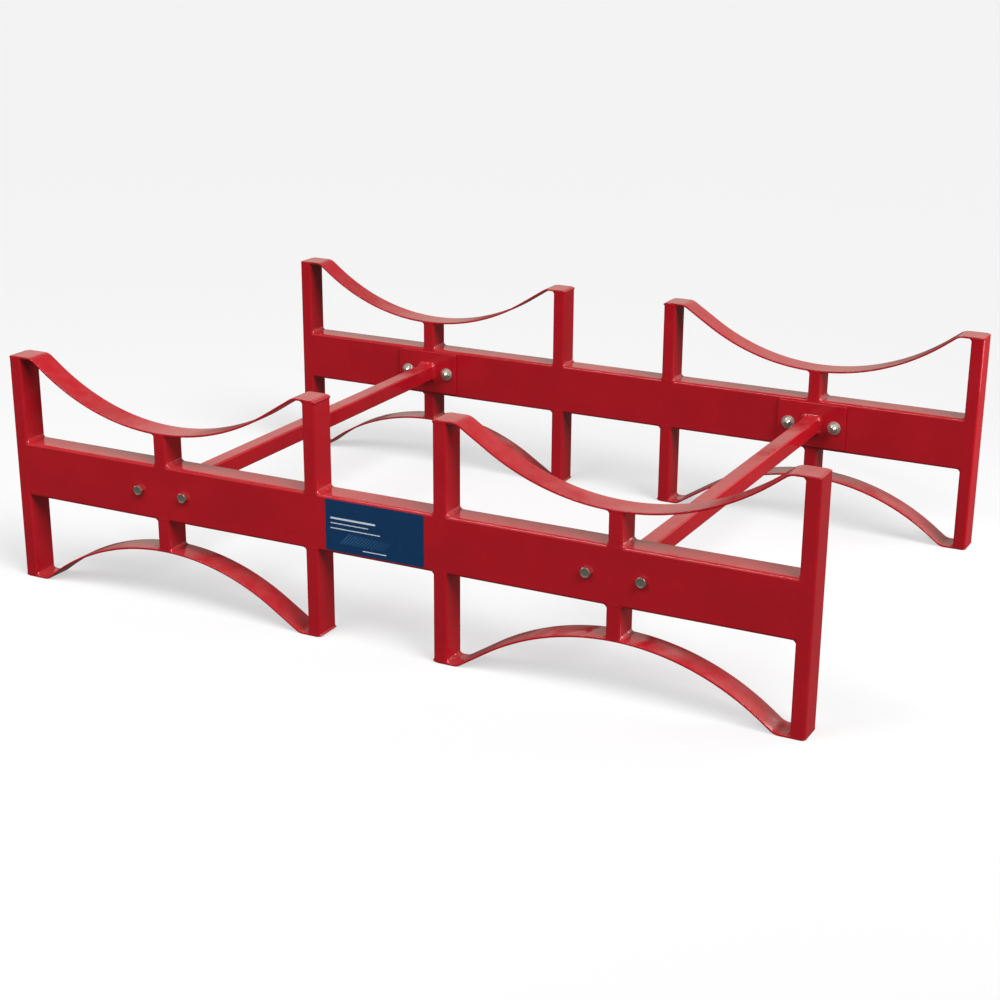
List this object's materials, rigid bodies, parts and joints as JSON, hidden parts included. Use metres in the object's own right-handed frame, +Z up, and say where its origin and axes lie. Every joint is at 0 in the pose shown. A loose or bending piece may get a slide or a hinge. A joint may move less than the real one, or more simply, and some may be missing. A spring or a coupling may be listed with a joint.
{
  "type": "stackable drum storage rack",
  "caption": "Low welded steel rack: side frames with curved saddles over curved feet, joined by bolted cross bars; holds drums lying down and stacks.",
  "frame": {"origin": "on the floor under the middle of the rack", "axes": "+X along the rails, -Y towards the frame with the label, +Z up"},
  "size_m": [1.2, 0.8106, 0.334],
  "materials": {
    "red_powder_coat": "glossy, slightly uneven powder coat",
    "zinc_plate": "bright zinc plating",
    "label_film": "glossy printed film"
  },
  "bodies": {
    "root": {"front_rail": "red_powder_coat", "front_end_post_left": "red_powder_coat", "front_end_post_right": "red_powder_coat", "front_inner_post_upper_left": "red_powder_coat", "front_inner_post_upper_right": "red_powder_coat", "front_inner_post_lower_left": "red_powder_coat", "front_inner_post_lower_right": "red_powder_coat", "front_mid_stub_upper_left": "red_powder_coat", "front_mid_stub_upper_right": "red_powder_coat", "front_mid_stub_lower_left": "red_powder_coat", "front_mid_stub_lower_right": "red_powder_coat", "front_saddle_left": "red_powder_coat", "front_saddle_right": "red_powder_coat", "front_arch_left": "red_powder_coat", "front_arch_right": "red_powder_coat", "back_rail": "red_powder_coat", "back_end_post_left": "red_powder_coat", "back_end_post_right": "red_powder_coat", "back_inner_post_upper_left": "red_powder_coat", "back_inner_post_upper_right": "red_powder_coat", "back_inner_post_lower_left": "red_powder_coat", "back_inner_post_lower_right": "red_powder_coat", "back_mid_stub_upper_left": "red_powder_coat", "back_mid_stub_upper_right": "red_powder_coat", "back_mid_stub_lower_left": "red_powder_coat", "back_mid_stub_lower_right": "red_powder_coat", "back_saddle_left": "red_powder_coat", "back_saddle_right": "red_powder_coat", "back_arch_left": "red_powder_coat", "back_arch_right": "red_powder_coat", "cross_bar_left": "red_powder_coat", "cross_bar_right": "red_powder_coat", "left_bar_plate_front": "red_powder_coat", "left_bar_plate_back": "red_powder_coat", "right_bar_plate_front": "red_powder_coat", "right_bar_plate_back": "red_powder_coat", "hex_bolts": "zinc_plate", "washers": "zinc_plate", "lock_nuts": "zinc_plate", "front_frame_welds": "red_powder_coat", "back_frame_welds": "red_powder_coat", "cross_bar_welds": "red_powder_coat", "front_label": "label_film"}
  },
  "joints": []
}
